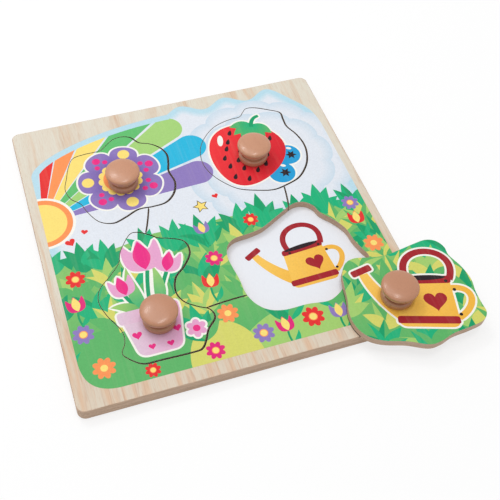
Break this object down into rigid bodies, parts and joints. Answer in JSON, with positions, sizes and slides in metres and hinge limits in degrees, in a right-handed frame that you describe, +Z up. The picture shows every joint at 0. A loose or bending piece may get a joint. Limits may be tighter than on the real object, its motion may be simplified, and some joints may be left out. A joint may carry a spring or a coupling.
{
  "type": "peg puzzle",
  "caption": "Square wooden peg puzzle: a two-layer board with sawn blob-shaped openings, matching lift-out pieces with turned knobs, and one piece lying loose on a corner.",
  "frame": {"origin": "centre of the board's underside, where it rests on a table", "axes": "+Z up out of the board's printed face, +Y towards the board's far edge, +X to the right"},
  "size_m": [0.3409, 0.3264, 0.038],
  "materials": {
    "board_wood": "sanded, clear lacquer",
    "backing_wood": "sanded, clear lacquer",
    "picture_paper": "printed, satin",
    "piece_wood": "printed face, sanded sawn edge",
    "knob_wood": "turned, satin lacquer",
    "screw_steel": "zinc plated"
  },
  "bodies": {
    "board": {"backing_board": "backing_wood", "picture_sheet": "picture_paper", "frame_board": "board_wood"},
    "flower": {"flower_piece": "piece_wood", "flower_knob": "knob_wood", "flower_screw": "screw_steel"},
    "strawberry": {"strawberry_piece": "piece_wood", "strawberry_knob": "knob_wood", "strawberry_screw": "screw_steel"},
    "flowerpot": {"flowerpot_piece": "piece_wood", "flowerpot_knob": "knob_wood", "flowerpot_screw": "screw_steel"},
    "watering_can": {"watering_can_piece": "piece_wood", "watering_can_knob": "knob_wood", "watering_can_screw": "screw_steel"}
  },
  "joints": [
    {"name": "flower_lift", "type": "slide", "parent": "board", "child": "flower", "axis": [0, 0, 1], "range_m": [0, 0.06]},
    {"name": "strawberry_lift", "type": "slide", "parent": "board", "child": "strawberry", "axis": [0, 0, 1], "range_m": [0, 0.06]},
    {"name": "flowerpot_lift", "type": "slide", "parent": "board", "child": "flowerpot", "axis": [0, 0, 1], "range_m": [0, 0.06]},
    {"name": "watering_can_lift", "type": "slide", "parent": "board", "child": "watering_can", "axis": [0, 0, 1], "range_m": [0, 0.06]}
  ]
}
